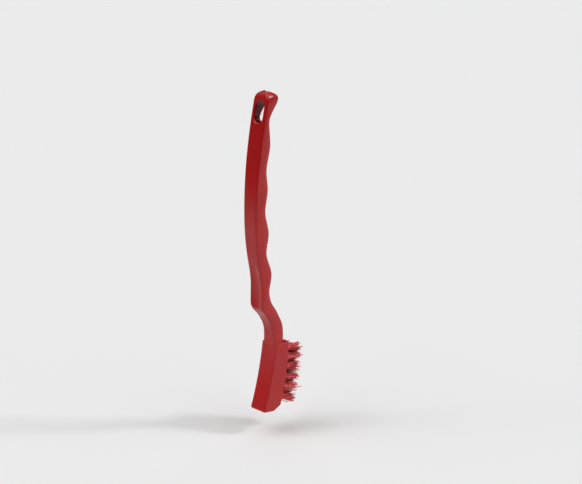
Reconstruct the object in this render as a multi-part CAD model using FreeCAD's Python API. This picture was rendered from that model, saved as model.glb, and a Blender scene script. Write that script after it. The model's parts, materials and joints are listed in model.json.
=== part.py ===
# Crevice brush: a one-piece moulded stock (grip, cranked neck and narrow curved head), tufts of stiff
# filament folded into blind holes of the head, and the flat metal anchor that locks each tuft in its hole.
# Frame: +Z up along the grip with the head at the bottom, +X the way the tufts point, +Y across the width.
# The origin is at the bottom centre of the whole brush. Lengths are in millimetres.
import FreeCAD, Part
import math
import os
from FreeCAD import Placement, Rotation, Vector

# Head: tip at the bottom, ledge below the neck at the top, back swept rearward towards the tip
HEAD_LENGTH = 49.0
HEAD_WIDTH = 14.5
LEDGE_DEPTH = 12.6
TIP_DEPTH = 16.5
HEAD_SWEEP = 12.0
BACK_HOLLOW = 1.3
FACE_CROWN = 1.7
TIP_BACK_RISE = 1.3
CHAMFER_DEPTH = 6.6
CHAMFER_RISE = 2.9
HEAD_EDGE_RADIUS = 1.1
HEAD_CORNER_EXTRA = 0.3
LEDGE_RADIUS = 0.7
LEDGE_STOCK = 4.0

# Neck: cranked from the ledge back to the heel of the grip, its back running on into the head's
NECK_LENGTH = 34.0
NECK_CRANK = 12.05
NECK_PROUD = 0.25
NECK_EMBED = 5.0
NECK_THICKNESS = 11.5
NECK_WIDTH = 10.8
# Pairs of height as a share of the neck's length, and what is left there of the crank, thickness or width
CRANK_SHARES = (
    (0.0, 1.0), (0.16, 0.992), (0.32, 0.93), (0.49, 0.7425), (0.62, 0.512),
    (0.735, 0.2565), (0.83, 0.037), (0.92, 0.0),
)
NECK_THICKNESS_SHARES = (
    (0.0, 0.822), (0.16, 0.861), (0.32, 0.922), (0.49, 0.952), (0.66, 0.99), (0.78, 1.06), (0.91, 0.92),
)
NECK_WIDTH_SHARES = ((0.0, 1.14), (0.25, 1.04), (0.5, 1.0), (0.72, 1.08))

# Grip: bowed backward, with finger hollows on the front and a rounded end that swells forward
GRIP_LENGTH = 145.4
GRIP_BOW = 5.3
GRIP_THICKNESS = 12.0
GRIP_WIDTH = 12.8
GRIP_END_WIDTH = 14.4
# Pairs of height as a share of the grip's length, and the share of the bow, thickness or width there
BOW_SHARES = (
    (0.03, -0.04), (0.11, 0.06), (0.21, 0.55), (0.31, 0.89), (0.415, 1.0),
    (0.525, 0.91), (0.755, 0.17), (0.905, -0.63), (1.0, -1.24),
)
FINGER_SHARES = (
    (0.034, 0.665), (0.127, 0.945), (0.23, 0.79), (0.326, 1.07), (0.433, 0.845), (0.54, 0.975),
    (0.63, 0.77), (0.75, 0.84), (0.84, 0.58), (0.885, 0.54), (0.925, 0.755), (0.955, 0.91), (1.0, 0.79),
)
GRIP_WIDTH_SHARES = ((0.0, 1.035), (0.1, 0.985), (0.29, 0.995), (0.49, 1.03), (0.70, 1.10))
END_WIDTH_SHARES = ((0.80, 0.99), (0.90, 1.0), (1.0, 1.0))
BACK_EDGE_RADIUS = 1.3
FRONT_EDGE_RADIUS = 2.5
SIDE_CROWN = 0.25
END_FLAT = 3.0
END_FRONT_ROUND = 7.2
END_BACK_ROUND = 1.6
STATION_PITCH = 4.0
END_STATIONS = 6
RADIUS_LIMIT_SHARE = 0.4

# Thumb dish in the back of the grip, starting just below the heel
DISH_LENGTH = 33.0
DISH_WIDTH = 11.0
DISH_DEPTH = 1.3
DISH_DROP = 6.0

# Hanging slot through the end of the grip, measured at the back, with walls that close in towards the front
# by a share of the way through, and the stub that the mould's gate leaves on the end
SLOT_WIDTH = 8.0
SLOT_LENGTH = 15.0
SLOT_DROP = 13.0
SLOT_RIM_RADIUS = 1.2
SLOT_TAPER_SHARE = 0.09
GATE_RADIUS = 1.0
GATE_HEIGHT = 0.7
GATE_ROUND = 0.35

# Tufts: three staggered rows of folded filament in blind holes, square to the crowned bristle face
OUTER_ROW_TUFTS = 6
LEDGE_MARGIN = 5.3
TIP_MARGIN = 5.7
SIDE_WALL = 1.35
HOLE_DIAMETER = 3.8
HOLE_DEPTH = 8.5
TRIM_LENGTH = 14.0
TRIM_SCATTER = 0.5
TIP_GAP = 0.3
TUFT_CLEARANCE = 0.05
FOLD_RADIUS = 1.2
STRAND_DIAMETER = 0.7
STRAND_SIDES = 6
STRAND_RINGS = 2
STRAND_EMBED = 1.0
COLLAR_DROP = 0.6

# Anchors: flat plates through the folds, their ends biting into the wall of the hole along the row
ANCHOR_THICKNESS = 0.4
ANCHOR_HEIGHT = 1.8
ANCHOR_BITE = 0.35
ANCHOR_BEVEL = 0.3
ANCHOR_LIFT = 1.0
ANCHOR_CLEARANCE = 0.02

# How far cutting tools run past what they cut, and how near an edge must be to be picked out
OVERRUN = 1.0
TOUCH = 0.01

# Heights and places that follow from the sizes above
NECK_FOOT = HEAD_LENGTH - NECK_EMBED
HEEL_HEIGHT = HEAD_LENGTH + NECK_LENGTH
END_HEIGHT = HEEL_HEIGHT + GRIP_LENGTH
HEEL_BACK = -NECK_PROUD - NECK_CRANK
END_ROUND = (GRIP_END_WIDTH - END_FLAT) / 2
HOLE_RADIUS = HOLE_DIAMETER / 2
ROW_SPACING = HEAD_WIDTH / 2 - SIDE_WALL - HOLE_RADIUS


def arc_edge(start, middle, end):
    """An edge on the circle through three points."""
    return Part.Arc(start, middle, end).toShape()


def line_edge(start, end):
    """A straight edge."""
    return Part.LineSegment(start, end).toShape()


def bulged_arc(start, end, bulge):
    """An upward arc in the XZ plane whose middle stands off its chord by bulge, towards +X."""
    chord = end - start
    out = Vector(chord.z, 0, -chord.x).normalize()
    return Part.ArcOfCircle(start, (start + end) / 2 + out * bulge, end)


def edges_where(shape, test):
    """The edges of a shape that pass a test."""
    return [edge for edge in shape.Edges if test(edge)]


def placed(shape, placement):
    """A copy of a shape at a placement."""
    copy = shape.copy()
    copy.Placement = placement
    return copy


def head_corners():
    """Corners of the head's side outline: ledge back, tip back, tip low, tip front and ledge front."""
    tip_front = TIP_DEPTH - HEAD_SWEEP
    return (
        Vector(0, 0, HEAD_LENGTH),
        Vector(-HEAD_SWEEP, 0, TIP_BACK_RISE),
        Vector(tip_front - CHAMFER_DEPTH, 0, 0),
        Vector(tip_front, 0, CHAMFER_RISE),
        Vector(LEDGE_DEPTH, 0, HEAD_LENGTH),
    )


def bristle_face_arc():
    """The crowned line of the bristle face, from the tip up to the ledge."""
    ledge_back, tip_back, tip_low, tip_front, ledge_front = head_corners()
    return bulged_arc(tip_front, ledge_front, FACE_CROWN)


def head_prism():
    """The head's side outline across its width, carried on a little above the ledge."""
    ledge_back, tip_back, tip_low, tip_front, ledge_front = head_corners()
    back = bulged_arc(tip_back, ledge_back, BACK_HOLLOW)
    face = bristle_face_arc()
    top_back = ledge_back + back.tangent(back.LastParameter)[0] * LEDGE_STOCK
    top_front = ledge_front + face.tangent(face.LastParameter)[0] * LEDGE_STOCK
    outline = Part.Wire([
        line_edge(tip_back, tip_low),
        line_edge(tip_low, tip_front),
        face.toShape(),
        line_edge(ledge_front, top_front),
        line_edge(top_front, top_back),
        line_edge(top_back, ledge_back),
        back.toShape(),
    ])
    outline.translate(Vector(0, -HEAD_WIDTH / 2, 0))
    return Part.Face(outline).extrude(Vector(0, HEAD_WIDTH, 0))


def head_block():
    """The head before drilling: a curved block with rounded edges, cut level at the ledge."""
    block = head_prism()
    tips = head_corners()[1:4]
    across = edges_where(block, lambda e: any(e.CenterOfMass.isEqual(tip, TOUCH) for tip in tips))
    block = block.makeFillet(HEAD_EDGE_RADIUS + HEAD_CORNER_EXTRA, across)
    below = edges_where(block, lambda e: e.BoundBox.ZMin < HEAD_LENGTH + TOUCH)
    block = block.makeFillet(HEAD_EDGE_RADIUS, [edge for edge in below if edge.BoundBox.YLength < TOUCH])
    reach = HEAD_SWEEP + TIP_DEPTH + LEDGE_DEPTH
    above = Part.makeBox(2 * reach, HEAD_WIDTH + reach, 2 * LEDGE_STOCK)
    above.translate(Vector(-reach, -(HEAD_WIDTH + reach) / 2, HEAD_LENGTH))
    block = block.cut(above)
    return block.makeFillet(LEDGE_RADIUS, edges_where(block, lambda e: e.BoundBox.ZMin > HEAD_LENGTH - TOUCH))


def height_curve(*runs):
    """A smooth curve through runs of (height, value) pairs, with the height itself as its parameter."""
    pairs = [pair for run in runs for pair in run]
    curve = Part.BSplineCurve()
    curve.interpolate(Points=[Vector(v, 0, h) for h, v in pairs], Parameters=[h for h, v in pairs])
    return curve


def neck_run(shares, start, size):
    """Neck shares as (height, value) pairs, continued level below the ledge."""
    pairs = [(HEAD_LENGTH + h * NECK_LENGTH, start + s * size) for h, s in shares]
    return [(NECK_FOOT, pairs[0][1])] + pairs


def grip_run(shares, start, size):
    """Grip shares as (height, value) pairs."""
    return [(HEEL_HEIGHT + h * GRIP_LENGTH, start + s * size) for h, s in shares]


def back_curve():
    """The back line of neck and grip."""
    neck = neck_run(CRANK_SHARES, HEEL_BACK, NECK_CRANK)
    return height_curve(neck, grip_run(BOW_SHARES, HEEL_BACK, -GRIP_BOW))


def thickness_curve():
    """The depth of neck and grip from back to front."""
    neck = neck_run(NECK_THICKNESS_SHARES, 0, NECK_THICKNESS)
    return height_curve(neck, grip_run(FINGER_SHARES, 0, GRIP_THICKNESS))


def width_curve():
    """The width of neck and grip."""
    neck = neck_run(NECK_WIDTH_SHARES, 0, NECK_WIDTH)
    grip = grip_run(GRIP_WIDTH_SHARES, 0, GRIP_WIDTH)
    return height_curve(neck, grip, grip_run(END_WIDTH_SHARES, 0, GRIP_END_WIDTH))


def section_points(back, front, width, height):
    """Control points round a section: a rounded oblong with tighter corners at the back and crowned sides.

    Each of its eight edges starts at an even point, bends towards the odd point after it and ends at the
    next even point.
    """
    limit = RADIUS_LIMIT_SHARE * min(width, front - back)
    back_round = min(BACK_EDGE_RADIUS, limit)
    front_round = min(FRONT_EDGE_RADIUS, limit)
    side = width / 2 - SIDE_CROWN
    crown = side + 2 * SIDE_CROWN
    middle = (back + front) / 2
    half = [
        (back, 0), (back, side - back_round), (back, side), (back + back_round, side), (middle, crown),
        (front - front_round, side), (front, side), (front, side - front_round), (front, 0),
    ]
    other = [(x, -y) for x, y in reversed(half[1:-1])]
    return [Vector(x, y, height) for x, y in half[1:] + other + half[:1]]


def skin(sections, places):
    """A solid through sections of control points, smooth along its length, with flat ends."""
    lines = []
    for points in zip(*sections):
        line = Part.BSplineCurve()
        line.interpolate(Points=list(points), Parameters=places)
        lines.append(line)
    faces = []
    for i in range(0, len(lines), 2):
        edge = [lines[i], lines[i + 1], lines[(i + 2) % len(lines)]]
        round_share = math.sqrt(0.5) if i % 4 == 0 else 1
        surface = Part.BSplineSurface()
        surface.buildFromPolesMultsKnots(
            [line.getPoles() for line in edge], [3, 3], edge[0].getMultiplicities(), [0, 1], edge[0].getKnots(),
            False, False, 2, 3, [[share] * edge[0].NbPoles for share in (1, round_share, 1)],
        )
        faces.append(surface.toShape())
    for end in (places[0], places[-1]):
        rim = [face.Surface.vIso(end).toShape() for face in faces[:len(lines) // 2]]
        faces.append(Part.Face(Part.Wire(rim)))
    shell = Part.makeShell(faces)
    shell.sewShape()
    return Part.makeSolid(shell)


def grip_and_neck():
    """Neck and grip as one skin, from a foot inside the head to the rounded end."""
    back = back_curve()
    thickness = thickness_curve()
    width = width_curve()
    end_start = END_HEIGHT - END_ROUND
    count = math.ceil((end_start - NECK_FOOT) / STATION_PITCH)
    stations = [(NECK_FOOT + (end_start - NECK_FOOT) * i / count, 0) for i in range(count)]
    stations += [(end_start, math.pi / 2 * i / END_STATIONS) for i in range(END_STATIONS + 1)]
    sections = []
    for base, turn in stations:
        height = base + END_ROUND * math.sin(turn)
        inset_share = 1 - math.cos(turn)
        line = back.value(height).x
        sections.append(section_points(
            line + END_BACK_ROUND * inset_share,
            line + thickness.value(height).x - END_FRONT_ROUND * inset_share,
            width.value(height).x - 2 * END_ROUND * inset_share,
            height,
        ))
    return skin(sections, [base + END_ROUND * turn for base, turn in stations])


def arc_radius(chord, rise):
    """Radius of the arc that rises by rise over a chord."""
    return (chord ** 2 / 4 + rise ** 2) / (2 * rise)


def thumb_dish():
    """A ring whose outside presses the thumb dish into the back of the grip."""
    back = back_curve()
    low = HEEL_HEIGHT - DISH_DROP
    middle = back.value(low + DISH_LENGTH / 2) + Vector(DISH_DEPTH, 0, 0)
    along = Part.ArcOfCircle(back.value(low), middle, back.value(low + DISH_LENGTH))
    across = arc_radius(DISH_WIDTH, DISH_DEPTH)
    return Part.makeTorus(along.Radius - across, across, along.Center, Vector(0, 1, 0))


def slot_mouth(centre, up, inset):
    """The oblong outline of the hanging slot about a point, drawn in by an inset."""
    run = Vector(0, SLOT_WIDTH / 2 - inset, 0)
    rise = up * ((SLOT_LENGTH - SLOT_WIDTH) / 2)
    tip = up * (SLOT_LENGTH / 2 - inset)
    return Part.Wire([
        line_edge(centre + run - rise, centre + run + rise),
        arc_edge(centre + run + rise, centre + tip, centre - run + rise),
        line_edge(centre - run + rise, centre - run - rise),
        arc_edge(centre - run - rise, centre - tip, centre + run - rise),
    ])


def hanging_slot():
    """The cutter of the hanging slot, square to the back of the grip and closing in towards the front."""
    back = back_curve()
    height = END_HEIGHT - SLOT_DROP
    up = back.tangent(height)[0]
    through = Vector(up.z, 0, -up.x)
    reaches = (-GRIP_THICKNESS, 2 * GRIP_THICKNESS)
    mouths = [slot_mouth(back.value(height) + through * reach, up, SLOT_TAPER_SHARE * reach) for reach in reaches]
    return Part.makeLoft(mouths, True, True)


def gate_stub():
    """The stub on the end, with a rounded top."""
    depth = thickness_curve().value(END_HEIGHT).x
    crest = back_curve().value(END_HEIGHT).x + (END_BACK_ROUND + depth - END_FRONT_ROUND) / 2
    stub = Part.makeCylinder(GATE_RADIUS, OVERRUN + GATE_HEIGHT, Vector(crest, 0, END_HEIGHT - OVERRUN))
    return stub.makeFillet(GATE_ROUND, edges_where(stub, lambda e: e.BoundBox.ZMin > END_HEIGHT))


def on_wall(edge, cutter):
    """Whether a curved edge runs round the walls of a cutter."""
    middle = Part.Vertex(edge.valueAt((edge.FirstParameter + edge.LastParameter) / 2))
    curved = edge.Curve.TypeId != "Part::GeomLine"
    return curved and cutter.Shells[0].distToShape(middle)[0] < TOUCH


def moulded_stock():
    """The stock before drilling: head, neck and grip with thumb dish, hanging slot and gate stub."""
    slot = hanging_slot()
    grip = grip_and_neck().cut(thumb_dish()).cut(slot)
    grip = grip.makeFillet(SLOT_RIM_RADIUS, edges_where(grip, lambda e: on_wall(e, slot)))
    return head_block().fuse([grip, gate_stub()])


def tuft_pitch():
    """Spacing of the tufts along a row."""
    return (bristle_face_arc().length() - LEDGE_MARGIN - TIP_MARGIN) / (OUTER_ROW_TUFTS - 1)


def tuft_seats():
    """Name and placement of each hole: local Z out of the bristle face, local X up along the row."""
    face = bristle_face_arc()
    pitch = tuft_pitch()
    seats = {}
    for row, side, stagger in (("left", -1, 0), ("middle", 0, pitch / 2), ("right", 1, 0)):
        count = OUTER_ROW_TUFTS if side else OUTER_ROW_TUFTS - 1
        for i in range(count):
            run = LEDGE_MARGIN + stagger + i * pitch
            point = face.value(face.LastParameter - run / face.Radius)
            out = (point - face.Center).normalize()
            along = Vector(-out.z, 0, out.x)
            turned = Rotation(along, Vector(0, 1, 0), out, "ZXY")
            seats[f"{row}_{i + 1}"] = Placement(point + Vector(0, side * ROW_SPACING, 0), turned)
    return seats


def anchor_plate(grow):
    """An anchor at the bottom of a hole, or its seat when grown by a clearance."""
    half = HOLE_RADIUS + ANCHOR_BITE + grow
    bottom = TUFT_CLEARANCE + ANCHOR_LIFT - HOLE_DEPTH - grow
    top = bottom + ANCHOR_HEIGHT + 2 * grow
    side = -ANCHOR_THICKNESS / 2 - grow
    outline = Part.makePolygon([
        Vector(-half, side, top),
        Vector(half, side, top),
        Vector(half, side, bottom + ANCHOR_BEVEL),
        Vector(half - ANCHOR_BEVEL, side, bottom),
        Vector(ANCHOR_BEVEL - half, side, bottom),
        Vector(-half, side, bottom + ANCHOR_BEVEL),
        Vector(-half, side, top),
    ])
    return Part.Face(outline).extrude(Vector(0, ANCHOR_THICKNESS + 2 * grow, 0))


def strand(start, end, turn):
    """A straight strand between two points."""
    corners = []
    for i in range(STRAND_SIDES + 1):
        angle = turn + 2 * math.pi * i / STRAND_SIDES
        corners.append(start + Vector(math.cos(angle), math.sin(angle), 0) * (STRAND_DIAMETER / 2))
    return Part.Face(Part.makePolygon(corners)).extrude(end - start)


def tuft(turn):
    """A folded bundle that fills its hole round the anchor, with strands that spread towards the trim."""
    radius = HOLE_RADIUS - TUFT_CLEARANCE
    bottom = TUFT_CLEARANCE - HOLE_DEPTH
    core = Part.makeCylinder(radius, -COLLAR_DROP - bottom, Vector(0, 0, bottom))
    core = core.makeFillet(FOLD_RADIUS, edges_where(core, lambda e: e.BoundBox.ZMax < bottom + TOUCH))
    neighbour = min(tuft_pitch(), math.hypot(ROW_SPACING, tuft_pitch() / 2))
    root_step = (radius - STRAND_DIAMETER / 2) / STRAND_RINGS
    tip_step = (neighbour - TIP_GAP - STRAND_DIAMETER) / 2 / STRAND_RINGS
    strands = []
    for ring in range(STRAND_RINGS + 1):
        count = max(1, STRAND_SIDES * ring)
        for i in range(count):
            angle = turn + 2 * math.pi * i / count
            way = Vector(math.cos(angle), math.sin(angle), 0)
            lean = way * ((tip_step - root_step) * ring / TRIM_LENGTH) + Vector(0, 0, 1)
            root = way * (root_step * ring)
            trim = TRIM_LENGTH - TRIM_SCATTER * (1 + math.sin(turn + 2 * i + ring)) / 2
            strands.append(strand(root - lean * (COLLAR_DROP + STRAND_EMBED), root + lean * trim, angle))
    return core.cut(anchor_plate(ANCHOR_CLEARANCE)).fuse(strands)


def drilled_stock(seats):
    """The stock with a blind hole and an anchor seat for each tuft."""
    hole = Part.makeCylinder(HOLE_RADIUS, HOLE_DEPTH + OVERRUN, Vector(0, 0, -HOLE_DEPTH))
    cutter = hole.fuse(anchor_plate(ANCHOR_CLEARANCE))
    return moulded_stock().cut([placed(cutter, seat) for seat in seats.values()])


def brush():
    """Every sub-part by name, shifted so that the origin is at the bottom centre of the whole."""
    seats = tuft_seats()
    parts = {"stock": drilled_stock(seats)}
    for turn, (name, seat) in enumerate(seats.items()):
        parts[f"tuft_{name}"] = placed(tuft(turn), seat)
        parts[f"anchor_{name}"] = placed(anchor_plate(0), seat)
    box = Part.makeCompound(list(parts.values())).optimalBoundingBox(False)
    shift = Vector(-box.Center.x, 0, -box.ZMin)
    return {name: shape.translated(shift) for name, shape in parts.items()}


def main():
    """Write one STEP file per sub-part."""
    os.makedirs("parts", exist_ok=True)
    for name, shape in brush().items():
        shape.Solids[0].exportStep(f"parts/{name}.step")
        print(name, len(shape.Solids), "solid", shape.isValid(), round(shape.Volume, 2))


if __name__ == "__main__":
    main()
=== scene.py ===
"""Looks of the crevice brush: satin red stock, crimped filament tufts, steel anchors and a pale studio."""
import json
import logging
import math
from dataclasses import dataclass
from enum import Enum

import bpy
import numpy as np
from mathutils import Matrix, Vector

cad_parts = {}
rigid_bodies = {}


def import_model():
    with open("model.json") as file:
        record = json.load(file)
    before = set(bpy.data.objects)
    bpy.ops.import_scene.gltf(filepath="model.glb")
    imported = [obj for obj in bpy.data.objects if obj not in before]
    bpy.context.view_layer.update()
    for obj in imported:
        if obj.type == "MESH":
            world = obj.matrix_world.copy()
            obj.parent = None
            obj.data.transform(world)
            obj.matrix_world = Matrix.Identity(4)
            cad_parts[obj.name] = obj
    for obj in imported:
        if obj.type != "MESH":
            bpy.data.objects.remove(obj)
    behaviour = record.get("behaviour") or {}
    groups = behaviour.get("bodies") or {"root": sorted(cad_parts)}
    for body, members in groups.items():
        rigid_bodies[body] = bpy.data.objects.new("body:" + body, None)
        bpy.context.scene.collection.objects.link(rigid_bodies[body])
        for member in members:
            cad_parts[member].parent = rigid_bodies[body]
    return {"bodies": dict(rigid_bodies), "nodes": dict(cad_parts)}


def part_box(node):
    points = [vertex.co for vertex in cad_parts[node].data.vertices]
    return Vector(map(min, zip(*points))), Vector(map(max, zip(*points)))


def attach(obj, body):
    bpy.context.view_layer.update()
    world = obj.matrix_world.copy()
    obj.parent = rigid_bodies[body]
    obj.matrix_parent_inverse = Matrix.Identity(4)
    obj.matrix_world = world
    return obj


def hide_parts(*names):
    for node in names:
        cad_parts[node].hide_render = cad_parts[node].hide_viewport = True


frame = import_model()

LOG = logging.getLogger("crevice_brush")
BODY = "root"
MM = 0.001
PHOTO_WIDTH = 582
GOLDEN_ANGLE = math.pi * (3 - math.sqrt(5))
FULL_TURN = 2 * math.pi

Colour = tuple[float, float, float, float]
Triple = tuple[float, float, float]
Span = tuple[float, float]
Link = bpy.types.NodeSocket


class Row(Enum):
    """The three rows of tufts across the head."""

    LEFT = "left"
    MIDDLE = "middle"
    RIGHT = "right"


class Side(Enum):
    """The two sides of the stock that a parting ridge runs down, as the sign of Y."""

    LEFT = -1
    RIGHT = 1


class Slot(Enum):
    """The record's material slots that the added pieces take."""

    STOCK = "stock_plastic"
    FILAMENT = "filament"


class MixSocket(Enum):
    """Places of the Mix node's colour sockets, which share their names with its other types."""

    SHARE = 0
    FIRST = 6
    SECOND = 7
    RESULT = 2


class NodeSketch:
    """A node tree being drawn: adds nodes, sets their plain values and links their sockets."""

    def __init__(self, tree: bpy.types.NodeTree) -> None:
        """Start on a tree.

        Args:
            tree: The material's, group's or world's node tree.
        """
        self.tree = tree

    def add(self, kind: str, values: dict[str, object] | None = None, **options: object) -> bpy.types.Node:
        """Add a node.

        Args:
            kind: The node's Blender type.
            values: Plain values or links for its inputs, by socket name.
            options: Properties of the node itself.

        Returns:
            The new node.
        """
        node = self.tree.nodes.new(kind)
        for name, value in options.items():
            setattr(node, name, value)
        for name, value in (values or {}).items():
            self.feed(node.inputs[name], value)
        return node

    def feed(self, socket: Link, value: object) -> None:
        """Link a socket to another, or set its plain value.

        Args:
            socket: The input to feed.
            value: Plain value or link.
        """
        if isinstance(value, Link):
            self.tree.links.new(value, socket)
        else:
            socket.default_value = value

    def place(self) -> Link:
        """Where a point lies on the piece.

        Returns:
            A link to the Object coordinates.
        """
        return self.add("ShaderNodeTexCoord").outputs["Object"]

    def noise(self, place: Link, scale: object, detail: float, roughness: float = 0.5) -> Link:
        """A soft noise.

        Args:
            place: Link to the place.
            scale: Patches per metre, as a value or link.
            detail: Number of finer layers.
            roughness: How strong each finer layer is.

        Returns:
            A socket that wavers about 0.5.
        """
        values = {"Vector": place, "Scale": scale, "Detail": detail, "Roughness": roughness}
        return self.add("ShaderNodeTexNoise", values).outputs["Fac"]

    def math(self, operation: str, *terms: object) -> Link:
        """One step of arithmetic on values or links.

        Args:
            operation: The Math node's operation.
            terms: Values or links, as many as the operation takes.

        Returns:
            The result's socket.
        """
        node = self.add("ShaderNodeMath", operation=operation)
        for socket, term in zip(node.inputs, terms):
            self.feed(socket, term)
        return node.outputs[0]

    def vector(self, operation: str, first: object, second: object) -> bpy.types.Node:
        """One step of arithmetic on two directions or places.

        Args:
            operation: The Vector Math node's operation.
            first: Value or link.
            second: Value or link.

        Returns:
            The node, whose result is its Vector or Value.
        """
        node = self.add("ShaderNodeVectorMath", operation=operation)
        self.feed(node.inputs[0], first)
        self.feed(node.inputs[1], second)
        return node

    def between(self, value: Link, span: Span, to_low: float = 0.0, to_high: float = 1.0) -> Link:
        """Map a value smoothly from one range to another.

        Args:
            value: The varying link.
            span: Values that map to to_low and to_high.
            to_low: Result at the first.
            to_high: Result at the second.

        Returns:
            The mapped socket.
        """
        low, high = span
        node = self.add("ShaderNodeMapRange", {
            "Value": value, "From Min": low, "From Max": high, "To Min": to_low, "To Max": to_high,
        }, interpolation_type="SMOOTHSTEP")
        return node.outputs["Result"]

    def blend(self, share: object, first: object, second: object) -> Link:
        """Mix two colours.

        Args:
            share: How much of the second, from 0 to 1.
            first: Colour or link.
            second: Colour or link.

        Returns:
            The mixed colour's socket.
        """
        node = self.add("ShaderNodeMix", data_type="RGBA")
        self.feed(node.inputs[MixSocket.SHARE.value], share)
        self.feed(node.inputs[MixSocket.FIRST.value], first)
        self.feed(node.inputs[MixSocket.SECOND.value], second)
        return node.outputs[MixSocket.RESULT.value]

    def bump(self, height: Link, strength: float, depth: float) -> Link:
        """Turn a varying height into a surface's normal.

        Args:
            height: Link to the height, from 0 to 1.
            strength: How strongly it shows.
            depth: Metres that a height of 1 stands for.

        Returns:
            The normal's socket.
        """
        values = {"Strength": strength, "Distance": depth, "Height": height}
        return self.add("ShaderNodeBump", values).outputs["Normal"]


def new_group(name: str, inputs: tuple[str, ...],
              outputs: tuple[str, ...]) -> tuple[NodeSketch, dict, dict]:
    """A shader node group whose sockets are all plain numbers.

    Args:
        name: The group's name.
        inputs: Names of its inputs.
        outputs: Names of its outputs.

    Returns:
        The sketch of its tree, its input links by name and its output sockets by name.
    """
    tree = bpy.data.node_groups.new(name, "ShaderNodeTree")
    for socket in inputs:
        tree.interface.new_socket(socket, in_out="INPUT", socket_type="NodeSocketFloat")
    for socket in outputs:
        tree.interface.new_socket(socket, in_out="OUTPUT", socket_type="NodeSocketFloat")
    sketch = NodeSketch(tree)
    source = sketch.add("NodeGroupInput").outputs
    sink = sketch.add("NodeGroupOutput").inputs
    return sketch, {n: source[n] for n in inputs}, {n: sink[n] for n in outputs}


class Effects:
    """Surface effects that several finishes share, each a node group built once."""

    finer_grain: float = 3.1
    finer_share: float = 0.4
    tone_span: Span = (0.3, 0.7)
    line_span: Span = (0.55, 0.75)
    edge_samples: int = 4
    edge_span: Span = (0.995, 0.9)
    break_span: Span = (0.35, 0.65)
    least_rub: float = 0.25
    outlook_samples: int = 8
    outlook_span: Span = (0.80, 0.48)

    def __init__(self) -> None:
        """Build the groups."""
        self.grain = self._moulded_grain()
        self.tone = self._slow_tone()
        self.lines = self._drawn_lines()
        self.rub = self._edge_rub()
        self.painted_shade = self._cavity_painted_shade()

    def _moulded_grain(self) -> bpy.types.NodeTree:
        """Fine spark-eroded skin: two noises of Object coordinates, one a third the size of the other.

        Returns:
            The group.
        """
        sketch, inputs, outputs = new_group("moulded_grain", ("Grains per metre",), ("Height",))
        place = sketch.place()
        coarse = sketch.noise(place, inputs["Grains per metre"], detail=2.0, roughness=0.6)
        finer = sketch.math("MULTIPLY", inputs["Grains per metre"], self.finer_grain)
        fine = sketch.noise(place, finer, detail=1.0)
        sketch.feed(outputs["Height"], sketch.math("MULTIPLY_ADD", fine, self.finer_share, coarse))
        return sketch.tree

    def _slow_tone(self) -> bpy.types.NodeTree:
        """Slow unevenness of colour: a broad noise of Object coordinates, spread to fill 0 to 1.

        Returns:
            The group.
        """
        sketch, inputs, outputs = new_group("slow_tone", ("Patches per metre",), ("Tone",))
        noise = sketch.noise(sketch.place(), inputs["Patches per metre"], detail=4.0, roughness=0.55)
        sketch.feed(outputs["Tone"], sketch.between(noise, self.tone_span))
        return sketch.tree

    def _drawn_lines(self) -> bpy.types.NodeTree:
        """Fine lines along Z: a noise of Object coordinates that are squeezed along Z.

        Returns:
            The group.
        """
        sketch, inputs, outputs = new_group("drawn_lines", ("Lines per metre", "Stretch"), ("Line",))
        squeeze = sketch.add("ShaderNodeCombineXYZ", {"X": 1.0, "Y": 1.0, "Z": inputs["Stretch"]})
        squeezed = sketch.vector("MULTIPLY", sketch.place(), squeeze.outputs["Vector"])
        noise = sketch.noise(squeezed.outputs["Vector"], inputs["Lines per metre"], detail=3.0)
        sketch.feed(outputs["Line"], sketch.between(noise, self.line_span))
        return sketch.tree

    def _edge_rub(self) -> bpy.types.NodeTree:
        """Edges that handling rubs: how far the surface turns in a small radius, broken up by a noise.

        Returns:
            The group.
        """
        sketch, inputs, outputs = new_group("edge_rub", ("Radius", "Breaks per metre"), ("Rub",))
        rounded = sketch.add("ShaderNodeBevel", {"Radius": inputs["Radius"]}, samples=self.edge_samples)
        normal = sketch.add("ShaderNodeNewGeometry").outputs["Normal"]
        turned = sketch.vector("DOT_PRODUCT", rounded.outputs["Normal"], normal)
        edge = sketch.between(turned.outputs["Value"], self.edge_span)
        noise = sketch.noise(sketch.place(), inputs["Breaks per metre"], detail=4.0)
        broken = sketch.between(noise, self.break_span, self.least_rub)
        sketch.feed(outputs["Rub"], sketch.math("MULTIPLY", edge, broken))
        return sketch.tree

    def _cavity_painted_shade(self) -> bpy.types.NodeTree:
        """Painted shade for deep hollows: how much of the surface's outlook is closed within a reach, as a
        share for darkening colour.

        Returns:
            The group.
        """
        sketch, inputs, outputs = new_group("hollow_shade", ("Reach",), ("Shade",))
        outlook = sketch.add("ShaderNodeAmbientOcclusion", {"Distance": inputs["Reach"]},
                             samples=self.outlook_samples, only_local=True)
        sketch.feed(outputs["Shade"], sketch.between(outlook.outputs["AO"], self.outlook_span))
        return sketch.tree

    @staticmethod
    def place(sketch: NodeSketch, group: bpy.types.NodeTree, **values: float) -> Link:
        """Put a group into a material.

        Args:
            sketch: The material's sketch.
            group: The group's tree.
            values: Its inputs by name, with underscores for spaces.

        Returns:
            The group's one output.
        """
        node = sketch.add("ShaderNodeGroup", node_tree=group)
        for name, value in values.items():
            node.inputs[name.replace("_", " ")].default_value = value
        return node.outputs[0]


def new_material(name: str) -> tuple[bpy.types.Material, NodeSketch, bpy.types.Node]:
    """A material with a bare Principled shader.

    Args:
        name: The material's name.

    Returns:
        The material, the sketch of its tree and its shader node.
    """
    material = bpy.data.materials.new(name)
    material.use_nodes = True
    shader = material.node_tree.nodes["Principled BSDF"]
    return material, NodeSketch(material.node_tree), shader


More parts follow.
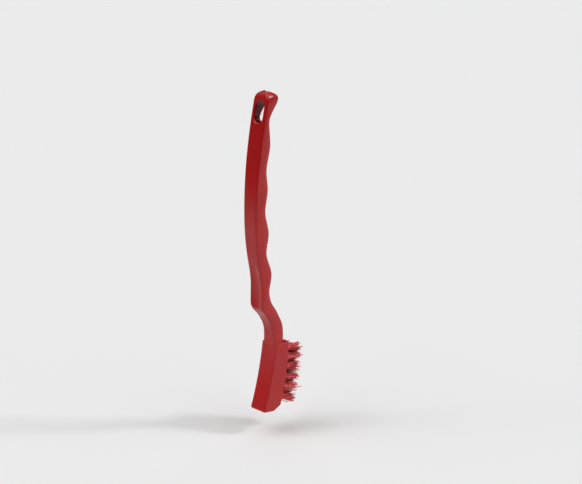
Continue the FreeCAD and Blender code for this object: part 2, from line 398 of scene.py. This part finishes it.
@dataclass(frozen=True)
class StockPlastic:
    """Satin moulded polypropylene of the stock, with painted shade that darkens its colour inside the
    hanging slot.
    """

    red: Colour = (0.500, 0.0128, 0.0133, 1.0)
    deep_red: Colour = (0.452, 0.0098, 0.0103, 1.0)
    rubbed_red: Colour = (0.530, 0.0300, 0.0310, 1.0)
    # Painted shade: near-black red that the inside of the hanging slot is blended towards.
    slot_painted_shade_red: Colour = (0.130, 0.0014, 0.0016, 1.0)
    patches_per_metre: float = 45.0
    rub_share: float = 0.35
    rub_radius: float = 0.7 * MM
    rub_breaks_per_metre: float = 300.0
    scuff_share: float = 0.22
    scuffs_per_metre: float = 900.0
    scuff_stretch: float = 0.06
    smooth: float = 0.22
    rough: float = 0.30
    painted_shade_reach: float = 22.0 * MM
    slot_foot: float = 195.0 * MM
    slot_blend: float = 5.0 * MM
    grains_per_metre: float = 2600.0
    grain_strength: float = 0.55
    grain_depth: float = 0.012 * MM
    gloss: float = 0.47
    refractive_index: float = 1.49

    def material(self, effects: Effects) -> bpy.types.Material:
        """The plastic's material.

        Args:
            effects: The shared effects.

        Returns:
            The material.
        """
        material, sketch, shader = new_material("stock_plastic_satin")
        tone = effects.place(sketch, effects.tone, Patches_per_metre=self.patches_per_metre)
        rub = effects.place(sketch, effects.rub, Radius=self.rub_radius,
                            Breaks_per_metre=self.rub_breaks_per_metre)
        scuff = effects.place(sketch, effects.lines, Lines_per_metre=self.scuffs_per_metre,
                              Stretch=self.scuff_stretch)
        grain = effects.place(sketch, effects.grain, Grains_per_metre=self.grains_per_metre)
        closed = effects.place(sketch, effects.painted_shade, Reach=self.painted_shade_reach)
        colour = sketch.blend(tone, self.deep_red, self.red)
        marks = sketch.math("MAXIMUM", sketch.math("MULTIPLY", rub, self.rub_share),
                            sketch.math("MULTIPLY", scuff, self.scuff_share))
        worn = sketch.blend(marks, colour, self.rubbed_red)
        # Painted shade: near the slot, the colour goes towards near-black red wherever the stock's own
        # outlook is closed in.
        height = sketch.add("ShaderNodeSeparateXYZ", {"Vector": sketch.place()}).outputs["Z"]
        about_slot = sketch.between(height, (self.slot_foot, self.slot_foot + self.slot_blend))
        painted_shade = sketch.math("MULTIPLY", closed, about_slot)
        sketch.feed(shader.inputs["Base Color"], sketch.blend(painted_shade, worn, self.slot_painted_shade_red))
        sketch.feed(shader.inputs["Roughness"], sketch.between(tone, (0.0, 1.0), self.rough, self.smooth))
        sketch.feed(shader.inputs["Normal"], sketch.bump(grain, self.grain_strength, self.grain_depth))
        shader.inputs["IOR"].default_value = self.refractive_index
        shader.inputs["Specular IOR Level"].default_value = self.gloss
        return material


@dataclass(frozen=True)
class FilamentFinish:
    """Crimped red filament, paler where its ends were cut."""

    red: Colour = (0.950, 0.1250, 0.1320, 1.0)
    deep_red: Colour = (0.460, 0.0140, 0.0160, 1.0)
    cut_red: Colour = (0.880, 0.3400, 0.3500, 1.0)
    cut_share: float = 0.87
    patches_per_metre: float = 420.0
    patch_share: float = 0.35
    strand_share: float = 0.65
    blend_span: Span = (0.2, 0.75)
    smooth: float = 0.30
    rough: float = 0.44
    grains_per_metre: float = 5200.0
    grain_strength: float = 0.3
    grain_depth: float = 0.01 * MM
    refractive_index: float = 1.53

    def material(self, effects: Effects) -> bpy.types.Material:
        """The filament's material, which reads each strand's own tone and the way along it.

        Args:
            effects: The shared effects.

        Returns:
            The material.
        """
        material, sketch, shader = new_material("filament_crimped")
        tone = sketch.add("ShaderNodeAttribute", attribute_name="tone").outputs["Fac"]
        along = sketch.add("ShaderNodeAttribute", attribute_name="along").outputs["Fac"]
        patch = effects.place(sketch, effects.tone, Patches_per_metre=self.patches_per_metre)
        grain = effects.place(sketch, effects.grain, Grains_per_metre=self.grains_per_metre)
        own = sketch.math("MULTIPLY", tone, self.strand_share)
        mixed = sketch.math("MULTIPLY_ADD", patch, self.patch_share, own)
        strand = sketch.blend(sketch.between(mixed, self.blend_span), self.deep_red, self.red)
        cut = sketch.between(along, (self.cut_share, 1.0))
        sketch.feed(shader.inputs["Base Color"], sketch.blend(cut, strand, self.cut_red))
        sketch.feed(shader.inputs["Roughness"], sketch.between(patch, (0.0, 1.0), self.smooth, self.rough))
        sketch.feed(shader.inputs["Normal"], sketch.bump(grain, self.grain_strength, self.grain_depth))
        shader.inputs["IOR"].default_value = self.refractive_index
        return material


@dataclass(frozen=True)
class AnchorSteel:
    """Bare flat wire of the anchors, with the lines of its drawing."""

    bright: Colour = (0.62, 0.62, 0.60, 1.0)
    dull: Colour = (0.38, 0.38, 0.37, 1.0)
    patches_per_metre: float = 600.0
    rub_radius: float = 0.1 * MM
    rub_breaks_per_metre: float = 2000.0
    smooth: float = 0.28
    rough: float = 0.45
    lines_per_metre: float = 9000.0
    line_stretch: float = 0.05
    line_strength: float = 0.4
    line_depth: float = 0.004 * MM

    def material(self, effects: Effects) -> bpy.types.Material:
        """The steel's material.

        Args:
            effects: The shared effects.

        Returns:
            The material.
        """
        material, sketch, shader = new_material("anchor_flat_wire")
        line = effects.place(sketch, effects.lines, Lines_per_metre=self.lines_per_metre,
                             Stretch=self.line_stretch)
        tone = effects.place(sketch, effects.tone, Patches_per_metre=self.patches_per_metre)
        rub = effects.place(sketch, effects.rub, Radius=self.rub_radius,
                            Breaks_per_metre=self.rub_breaks_per_metre)
        dulled = sketch.blend(tone, self.dull, self.bright)
        sketch.feed(shader.inputs["Base Color"], sketch.blend(rub, dulled, self.bright))
        sketch.feed(shader.inputs["Roughness"], sketch.between(line, (0.0, 1.0), self.smooth, self.rough))
        sketch.feed(shader.inputs["Normal"], sketch.bump(line, self.line_strength, self.line_depth))
        shader.inputs["Metallic"].default_value = 1.0
        return material


@dataclass(frozen=True)
class FloorPaint:
    """Pale matt floor of the studio. Reflected and bounced rays see it turn near black past the edges of a
    table, painted shade for a dark room, and see it dimmer on the table by a painted reflection loss.
    """

    pale: Colour = (0.800, 0.800, 0.800, 1.0)
    paler: Colour = (0.806, 0.806, 0.806, 1.0)
    # Painted shade: near black that reflected and bounced rays see past the table's edges.
    painted_dark_surround: Colour = (0.010, 0.010, 0.010, 1.0)
    patches_per_metre: float = 3.0
    across: Triple = (0.7193, -0.6947, 0.0)
    away: Triple = (0.6947, 0.7193, 0.0)
    left_edge: Span = (-1.02, -0.46)
    front_edge: Span = (-0.66, -0.48)
    # Painted reflection loss: share by which reflected rays see the floor darker.
    painted_reflection_loss: float = 0.18

    def material(self, effects: Effects) -> bpy.types.Material:
        """The floor's material.

        Args:
            effects: The shared effects.

        Returns:
            The material.
        """
        material, sketch, shader = new_material("studio_floor_paint")
        tone = effects.place(sketch, effects.tone, Patches_per_metre=self.patches_per_metre)
        paint = sketch.blend(tone, self.pale, self.paler)
        place = sketch.place()
        path = sketch.add("ShaderNodeLightPath").outputs
        # Painted shade: camera rays see the even pale paint; reflected and bounced rays see near black
        # past the table, and reflected rays see the table dimmed too.
        indirect = sketch.math("MAXIMUM", path["Is Glossy Ray"], path["Is Diffuse Ray"])
        table = sketch.math("MULTIPLY", self._past(sketch, place, self.across, self.left_edge),
                            self._past(sketch, place, self.away, self.front_edge))
        loss = sketch.math("MULTIPLY", path["Is Glossy Ray"], self.painted_reflection_loss)
        shown = sketch.math("MULTIPLY", table, sketch.math("SUBTRACT", 1.0, loss))
        painted_dark = sketch.math("MULTIPLY", indirect, sketch.math("SUBTRACT", 1.0, shown))
        sketch.feed(shader.inputs["Base Color"], sketch.blend(painted_dark, paint, self.painted_dark_surround))
        shader.inputs["Roughness"].default_value = 1.0
        shader.inputs["Specular IOR Level"].default_value = 0.0
        return material

    @staticmethod
    def _past(sketch: NodeSketch, place: Link, way: Triple, edge: Span) -> Link:
        """How far a place lies past a soft edge of the table.

        Args:
            sketch: The material's sketch.
            place: Link to the place.
            way: Level direction in which the edge is passed.
            edge: Where the edge starts and ends along it.

        Returns:
            A socket that goes from 0 before the edge to 1 past it.
        """
        along = sketch.vector("DOT_PRODUCT", place, way)
        return sketch.between(along.outputs["Value"], edge)


def tube_faces(count: int, stations: int, sides: int) -> tuple[np.ndarray, np.ndarray]:
    """Faces of many like tubes whose points are numbered tube by tube, ring by ring.

    Point (i, j, k) has the number (i * stations + j) * sides + k. Each wall face joins k and k + 1 of
    ring j to those of ring j + 1, and the first and last rings are closed by flat caps.

    Args:
        count: Number of tubes.
        stations: Rings in a tube.
        sides: Points in a ring.

    Returns:
        The four-sided wall faces and the caps, as arrays of point numbers.
    """
    number = np.arange(count * stations * sides).reshape(count, stations, sides)
    turned = np.roll(number, -1, axis=2)
    walls = np.stack([number[:, :-1], turned[:, :-1], turned[:, 1:], number[:, 1:]], axis=-1)
    caps = np.concatenate([number[:, 0, ::-1], number[:, -1]])
    return walls.reshape(-1, 4), caps


def mesh_piece(name: str, points: np.ndarray, walls: np.ndarray, caps: np.ndarray) -> bpy.types.Object:
    """A smooth piece at the origin with flat caps, from whole arrays.

    Args:
        name: The piece's name.
        points: Places in metres, one row each.
        walls: Smooth faces as rows of point numbers.
        caps: Flat faces as rows of point numbers.

    Returns:
        The linked object.
    """
    mesh = bpy.data.meshes.new(name)
    mesh.from_pydata(points.tolist(), [], walls.tolist() + caps.tolist())
    smooth = np.arange(len(walls) + len(caps)) < len(walls)
    mesh.polygons.foreach_set("use_smooth", smooth)
    mesh.update()
    piece = bpy.data.objects.new(name, mesh)
    bpy.context.scene.collection.objects.link(piece)
    return piece


def set_attribute(piece: bpy.types.Object, name: str, values: np.ndarray) -> None:
    """Store one number per point of a piece.

    Args:
        piece: The piece.
        name: The attribute's name.
        values: The numbers, in the order of the points.
    """
    attribute = piece.data.attributes.new(name, "FLOAT", "POINT")
    attribute.data.foreach_set("value", values.astype(np.float32).ravel())


def dress_node(node: bpy.types.Object, material: bpy.types.Material) -> None:
    """Give a CAD node or piece its one material.

    Args:
        node: The node or piece.
        material: The material.
    """
    node.data.materials.clear()
    node.data.materials.append(material)


def unit(ways: np.ndarray) -> np.ndarray:
    """Directions brought to length 1.

    Args:
        ways: One direction in each row.

    Returns:
        The unit directions.
    """
    return ways / np.linalg.norm(ways, axis=1, keepdims=True)


def compass(bearing: np.ndarray) -> np.ndarray:
    """Flat unit directions.

    Args:
        bearing: Angles in radians.

    Returns:
        The cosine and sine of each, in a last axis of two.
    """
    return np.stack([np.cos(bearing), np.sin(bearing)], axis=-1)


class Skin:
    """The triangles of a CAD node, for finding its surface along an axis."""

    def __init__(self, node: bpy.types.Object) -> None:
        """Read the node's triangles.

        Args:
            node: The CAD node.
        """
        mesh = node.data
        mesh.calc_loop_triangles()
        places = np.empty(len(mesh.vertices) * 3)
        mesh.vertices.foreach_get("co", places)
        corners = np.empty(len(mesh.loop_triangles) * 3, int)
        mesh.loop_triangles.foreach_get("vertices", corners)
        self.triangles = places.reshape(-1, 3)[corners.reshape(-1, 3)]

    def reach(self, axis: int, first: np.ndarray, second: np.ndarray) -> tuple[np.ndarray, np.ndarray]:
        """Lowest and highest surface along an axis through each place.

        Each triangle is seen along the axis. Where the place's two barycentric weights u and v in that
        shadow are at least 0 and sum to at most 1, the surface is a + u (b - a) + v (c - a) on the axis.

        Args:
            axis: 0, 1 or 2.
            first: The places' first other coordinate.
            second: The places' second other coordinate.

        Returns:
            The lowest and highest surface, infinite where there is none.
        """
        others = [i for i in range(3) if i != axis]
        a, b, c = (self.triangles[:, i] for i in range(3))
        ab, ac = (b - a)[:, others], (c - a)[:, others]
        area = ab[:, 0] * ac[:, 1] - ab[:, 1] * ac[:, 0]
        area = np.where(np.abs(area) > 0, area, np.inf)
        p = first[:, None] - a[None, :, others[0]]
        q = second[:, None] - a[None, :, others[1]]
        u = (p * ac[:, 1] - q * ac[:, 0]) / area
        v = (ab[:, 0] * q - ab[:, 1] * p) / area
        inside = (u >= 0) & (v >= 0) & (u + v <= 1) & np.isfinite(area)
        level = a[:, axis] + u * (b - a)[:, axis] + v * (c - a)[:, axis]
        return np.where(inside, level, np.inf).min(1), np.where(inside, level, -np.inf).max(1)


@dataclass
class Stock:
    """The moulded stock, with the faint ridge that the mould's parting leaves down each side."""

    ridge_from: float = 52.0 * MM
    ridge_end_gap: float = 1.1 * MM
    ridge_width: float = 0.45 * MM
    ridge_height: float = 0.09 * MM
    ridge_stations: int = 240
    ridge_sides: int = 10
    fade_stations: int = 12
    faded_depth: float = 2.0
    beside_slot: float = 5.3 * MM

    def build(self) -> list[bpy.types.Object]:
        """Make the two parting ridges, with stations that crowd together over the rounded end.

        Returns:
            The ridges.
        """
        skin = Skin(frame["nodes"]["stock"])
        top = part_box("stock")[1].z - self.ridge_end_gap
        climb = np.sin(np.linspace(0, math.pi / 2, self.ridge_stations))
        height = self.ridge_from + (top - self.ridge_from) * climb
        across = [skin.reach(0, np.full_like(height, y), height) for y in (0.0, self.beside_slot)]
        back = np.minimum(across[0][0], across[1][0])
        front = np.maximum(across[0][1], across[1][1])
        middle = (back + front) / 2
        reaches = dict(zip(Side, skin.reach(1, middle, height)))
        return [self._ridge(side, np.stack([middle, surface, height], axis=-1))
                for side, surface in reaches.items()]

    def _ridge(self, side: Side, path: np.ndarray) -> bpy.types.Object:
        """One ridge: an ellipse of its width and height, half sunk, carried up the middle of a side.

        At both ends it fades: it goes flat and sinks by faded_depth times its height.

        Args:
            side: Which side of the stock.
            path: Places on the side's surface, one row each.

        Returns:
            The ridge.
        """
        way = unit(np.gradient(path, axis=0))
        depth = unit(np.array([1.0, 0.0, 0.0]) - way * way[:, :1])
        out = -side.value * np.cross(depth, way)
        across = np.cross(out, way)
        turn = np.linspace(0, FULL_TURN, self.ridge_sides, endpoint=False)[None, :, None]
        station = np.arange(len(path))
        fade = np.minimum(1.0, np.minimum(station, station[::-1]) / self.fade_stations)[:, None, None]
        lift = np.sin(turn) * fade - (1 - fade) * self.faded_depth
        ring = across[:, None] * np.cos(turn) * self.ridge_width / 2
        ring = ring + out[:, None] * lift * self.ridge_height
        points = (path[:, None] + ring).reshape(-1, 3)
        walls, caps = tube_faces(1, len(path), self.ridge_sides)
        piece = mesh_piece(f"parting_ridge_{side.name.lower()}", points, walls, caps)
        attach(piece, BODY)
        return piece

    def dress(self, ridges: list[bpy.types.Object], effects: Effects) -> None:
        """Give the stock and its ridges their plastic.

        Args:
            ridges: The parting ridges.
            effects: The shared effects.
        """
        plastic = StockPlastic().material(effects)
        for piece in [frame["nodes"]["stock"], *ridges]:
            dress_node(piece, plastic)
            LOG.info("%s: satin plastic, %d faces", piece.name, len(piece.data.polygons))


@dataclass
class TuftField:
    """The tufts: bundles of crimped filament folded under their anchors and spread towards the trim."""

    counts: tuple[int, int, int] = (6, 5, 6)
    anchor_depth: float = 6.55 * MM
    fold_depth: float = 7.75 * MM
    shoulder_depth: float = 6.9 * MM
    fold_half_gap: float = 0.45 * MM
    filaments: int = 42
    filament_radius: float = 0.25 * MM
    root_radius: float = 1.64 * MM
    tip_radius: float = 2.1 * MM
    spread_power: float = 0.9
    trim: float = 14.0 * MM
    trim_scatter: float = 2.6 * MM
    trim_scatter_power: float = 2.2
    trim_jitter: float = 0.1 * MM
    trim_fall: float = 0.7 * MM
    stray: float = 1.35 * MM
    crimp_height: float = 0.34 * MM
    crimp_height_span: Span = (0.5, 1.3)
    crimp_length: float = 4.6 * MM
    crimp_length_span: Span = (0.85, 1.15)
    crimp_onset: float = 0.25
    bottom_lean: float = 1.3 * MM
    top_leans: Triple = (1.6 * MM, 2.6 * MM, 3.4 * MM)
    lean_power: int = 3
    free_stations: int = 11
    sides: int = 5
    seed: int = 731

    def seats(self) -> dict[str, tuple[np.ndarray, np.ndarray]]:
        """Mouth and outward axis of every hole, worked out from the anchors.

        The anchors of a row lie on a circle concentric with the crowned bristle face. Its centre is the
        least squares solution of 2 x a + 2 z b + c = x x + z z over their middles, and each axis runs
        out from it.

        Returns:
            Mouth and axis by tuft name.
        """
        names = [f"{row.value}_{i + 1}" for row, n in zip(Row, self.counts) for i in range(n)]
        boxes = np.array([[tuple(corner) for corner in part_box(f"anchor_{name}")] for name in names])
        middles = boxes.mean(axis=1)
        x, z = middles[:, 0], middles[:, 2]
        terms = np.stack([2 * x, 2 * z, np.ones_like(x)], axis=-1)
        centre = np.linalg.lstsq(terms, x * x + z * z, rcond=None)[0][:2]
        out = unit(np.stack([x - centre[0], np.zeros_like(x), z - centre[1]], axis=-1))
        mouths = middles + out * self.anchor_depth
        return dict(zip(names, zip(mouths, out)))

    def build(self) -> list[bpy.types.Object]:
        """Make every tuft, the end ones leaning down and the lower ones a little longer.

        Returns:
            The tufts.
        """
        random = np.random.default_rng(self.seed)
        tufts = []
        for name, (mouth, out) in self.seats().items():
            row, number = name.rsplit("_", 1)
            place = [r.value for r in Row].index(row)
            way = ((self.counts[place] + 1) / 2 - int(number)) / ((max(self.counts) - 1) / 2)
            lean = -self.top_leans[place] * max(way, 0) ** self.lean_power
            lean = lean - self.bottom_lean * max(-way, 0) ** self.lean_power
            tufts.append(self._tuft(name, mouth, out, lean, self.trim - self.trim_fall * way, random))
        return tufts

    def _strands(self, lean: float, trim: float,
                 random: np.random.Generator) -> tuple[np.ndarray, np.ndarray]:
        """Paths of a tuft's filaments about the axis of its hole.

        The roots fill the hole on a sunflower spiral: radius R sqrt((i + 1/2) / n) at i golden angles. A
        free filament runs from its root to a wider, straying place at the trim as s to the spread power,
        and swings sideways by a sin(2 pi s L / w + p), growing from the root. Below the mouth it goes
        down beside the anchor and under it.

        Args:
            lean: How far the tips lean up along the row, less than 0 for down.
            trim: Length of its longest filaments.
            random: Source of the scatter.

        Returns:
            Places up the row and across it, and heights above the mouth, by filament and station.
        """
        n = self.filaments
        i = np.arange(n)
        bearing = i * GOLDEN_ANGLE + random.uniform(0, FULL_TURN)
        spoke = np.sqrt((i + 0.5) / n)[:, None] * compass(bearing)
        root = spoke * self.root_radius
        tip = spoke * self.tip_radius + random.normal(0, self.stray, (n, 2)) + np.array([lean, 0.0])
        length = trim - self.trim_scatter * random.uniform(0, 1, n) ** self.trim_scatter_power
        length = length + random.normal(0, self.trim_jitter, n)
        share = self._free_shares()
        swing = compass(random.uniform(0, FULL_TURN, n))
        phase = random.uniform(0, FULL_TURN, n)
        waves = length / (self.crimp_length * random.uniform(*self.crimp_length_span, n))
        size = self.crimp_height * random.uniform(*self.crimp_height_span, n)
        growth = np.minimum(1, share / self.crimp_onset)
        wave = np.sin(FULL_TURN * share * waves[:, None] + phase[:, None]) * growth
        free = root[:, None] + (tip - root)[:, None] * (share ** self.spread_power)[None, :, None]
        free = free + (swing * size[:, None])[:, None] * wave[..., None]
        beside = np.where(root[:, 1] < 0, -1, 1) * np.maximum(np.abs(root[:, 1]), self.fold_half_gap)
        under = np.stack([root[:, 0], np.zeros(n)], axis=-1)
        shoulder = np.stack([root[:, 0], beside], axis=-1)
        flat = np.concatenate([under[:, None], shoulder[:, None], free], axis=1)
        sunk = np.broadcast_to([-self.fold_depth, -self.shoulder_depth], (n, 2))
        return flat, np.concatenate([sunk, share * length[:, None]], axis=1)

    def _free_shares(self) -> np.ndarray:
        """Stations along a filament's free length.

        Returns:
            Shares of the length, from 0 at the mouth to 1 at the trim.
        """
        return np.linspace(0, 1, self.free_stations + 1)

    def _tuft(self, name: str, mouth: np.ndarray, out: np.ndarray, lean: float, trim: float,
              random: np.random.Generator) -> bpy.types.Object:
        """One tuft of crimped filaments, none of which dips below the tip of the head.

        Args:
            name: Row and number of the tuft.
            mouth: Middle of the hole's mouth.
            out: Axis out of the hole.
            lean: How far the tips lean up along the row, less than 0 for down.
            trim: Length of its longest filaments.
            random: Source of the scatter.

        Returns:
            The tuft.
        """
        n = self.filaments
        flat, rise = self._strands(lean, trim, random)
        up = np.array([-out[2], 0.0, out[0]])
        side = np.array([0.0, 1.0, 0.0])
        path = mouth + flat[..., :1] * up + flat[..., 1:] * side + rise[..., None] * out
        path[..., 2] = np.maximum(path[..., 2], self.filament_radius)
        turn = np.linspace(0, FULL_TURN, self.sides, endpoint=False)[:, None]
        ring = self.filament_radius * (np.cos(turn) * side - np.sin(turn) * up)
        ring = ring if np.cross(side, -up) @ out > 0 else ring[::-1]
        points = path[:, :, None] + ring
        walls, caps = tube_faces(n, path.shape[1], self.sides)
        piece = mesh_piece(f"filaments_{name}", points.reshape(-1, 3), walls, caps)
        along = np.tile(np.concatenate([[0.0, 0.0], self._free_shares()]), n)
        set_attribute(piece, "along", np.repeat(along, self.sides))
        set_attribute(piece, "tone", np.repeat(random.uniform(0, 1, n), path.shape[1] * self.sides))
        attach(piece, BODY)
        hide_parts(f"tuft_{name}")
        return piece

    def dress(self, tufts: list[bpy.types.Object], effects: Effects) -> None:
        """Give the tufts their filament finish.

        Args:
            tufts: The tufts.
            effects: The shared effects.
        """
        finish = FilamentFinish().material(effects)
        for piece in tufts:
            dress_node(piece, finish)
            LOG.info("%s: %d filaments, %d faces", piece.name, self.filaments, len(piece.data.polygons))


@dataclass
class Anchors:
    """The flat wire anchors inside the holes."""

    prefix: str = "anchor_"

    def dress(self, effects: Effects) -> None:
        """Give the anchors their steel.

        Args:
            effects: The shared effects.
        """
        steel = AnchorSteel().material(effects)
        for name, node in frame["nodes"].items():
            if name.startswith(self.prefix):
                dress_node(node, steel)
                LOG.info("%s: flat wire", name)


@dataclass(frozen=True)
class Softbox:
    """A far soft lamp: bearing from +X, height above the level and breadth in degrees, and strength."""

    name: str
    bearing: float
    height: float
    strength: float
    breadth: float

    def hang(self) -> None:
        """Put the lamp into the scene, its light falling towards the origin."""
        lamp = bpy.data.lights.new(self.name, "SUN")
        lamp.energy = self.strength
        lamp.angle = math.radians(self.breadth)
        holder = bpy.data.objects.new(self.name, lamp)
        holder.rotation_euler = (0.0, math.radians(90.0 - self.height), math.radians(self.bearing))
        bpy.context.scene.collection.objects.link(holder)


@dataclass
class Studio:
    """Pale floor, soft light and the camera at the photograph's viewing angle."""

    softboxes: tuple[Softbox, ...] = (
        Softbox("softbox_right", bearing=-48.0, height=38.0, strength=0.95, breadth=10.0),
        Softbox("wide_right", bearing=-70.0, height=50.0, strength=0.94, breadth=62.0),
        Softbox("softbox_left", bearing=146.0, height=43.0, strength=0.30, breadth=15.0),
        Softbox("wide_left", bearing=152.0, height=52.0, strength=1.50, breadth=58.0),
        Softbox("softbox_behind", bearing=45.0, height=62.0, strength=0.52, breadth=45.0),
    )
    floor_half: float = 8.0
    floor_level: float = -16.0 * MM
    floor_cells: int = 8
    surround_span: Span = (0.15, 0.95)
    horizon_level: float = 0.0
    zenith_level: float = 0.05
    camera_place: Triple = (-0.76826, -0.81295, 0.46355)
    camera_right: Triple = (0.71934, -0.69466, 0.0)
    camera_forward: Triple = (0.66430, 0.68791, -0.29237)
    focal_pixels: float = 1700.0
    sensor: float = 36.0

    def clear(self) -> None:
        """Take away what Blender starts with."""
        kept = set(frame["nodes"].values()) | set(frame["bodies"].values())
        for thing in [o for o in bpy.data.objects if o not in kept]:
            bpy.data.objects.remove(thing)

    def build(self, effects: Effects) -> None:
        """Lay the floor, hang the lamps and set up the camera.

        Args:
            effects: The shared effects.
        """
        self._floor(effects)
        self._light()
        self._camera()
        bpy.context.scene.view_settings.view_transform = "Standard"

    def _floor(self, effects: Effects) -> None:
        """A level grid of cells, which the brush hangs clear of as in the photograph.

        Args:
            effects: The shared effects.
        """
        line = np.linspace(-self.floor_half, self.floor_half, self.floor_cells + 1)
        x, y = np.meshgrid(line, line)
        points = np.stack([x, y, np.full_like(x, self.floor_level)], axis=-1).reshape(-1, 3)
        number = np.arange(len(points)).reshape(x.shape)
        cells = np.stack([number[:-1, :-1], number[:-1, 1:], number[1:, 1:], number[1:, :-1]], axis=-1)
        floor = mesh_piece("studio_floor", points, np.empty((0, 4), int), cells.reshape(-1, 4))
        dress_node(floor, FloorPaint().material(effects))

    def _light(self) -> None:
        """A dim surround that brightens from the horizon to the zenith, and the softboxes."""
        world = bpy.data.worlds.new("studio_surround")
        world.use_nodes = True
        sketch = NodeSketch(world.node_tree)
        way = sketch.add("ShaderNodeTexCoord").outputs["Generated"]
        height = sketch.add("ShaderNodeSeparateXYZ", {"Vector": way}).outputs["Z"]
        level = sketch.between(height, self.surround_span, self.horizon_level, self.zenith_level)
        sketch.feed(world.node_tree.nodes["Background"].inputs["Color"], level)
        bpy.context.scene.world = world
        for softbox in self.softboxes:
            softbox.hang()

    def _camera(self) -> None:
        """The camera, with a focal length in pixels of the photograph's width."""
        data = bpy.data.cameras.new("photo_camera")
        data.sensor_width = self.sensor
        data.lens = self.focal_pixels / PHOTO_WIDTH * self.sensor
        camera = bpy.data.objects.new("photo_camera", data)
        right = Vector(self.camera_right).normalized()
        back = -Vector(self.camera_forward).normalized()
        turned = Matrix((right, back.cross(right), back)).transposed().to_4x4()
        camera.matrix_world = Matrix.Translation(self.camera_place) @ turned
        bpy.context.scene.collection.objects.link(camera)
        bpy.context.scene.camera = camera


def main() -> None:
    """Build and dress the brush in order and set up the studio."""
    logging.basicConfig(level=logging.INFO, format="%(name)s: %(message)s")
    studio = Studio()
    studio.clear()
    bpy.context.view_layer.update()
    effects = Effects()
    stock = Stock()
    stock.dress(stock.build(), effects)
    tufts = TuftField()
    tufts.dress(tufts.build(), effects)
    Anchors().dress(effects)
    studio.build(effects)


if __name__ == "__main__":
    main()
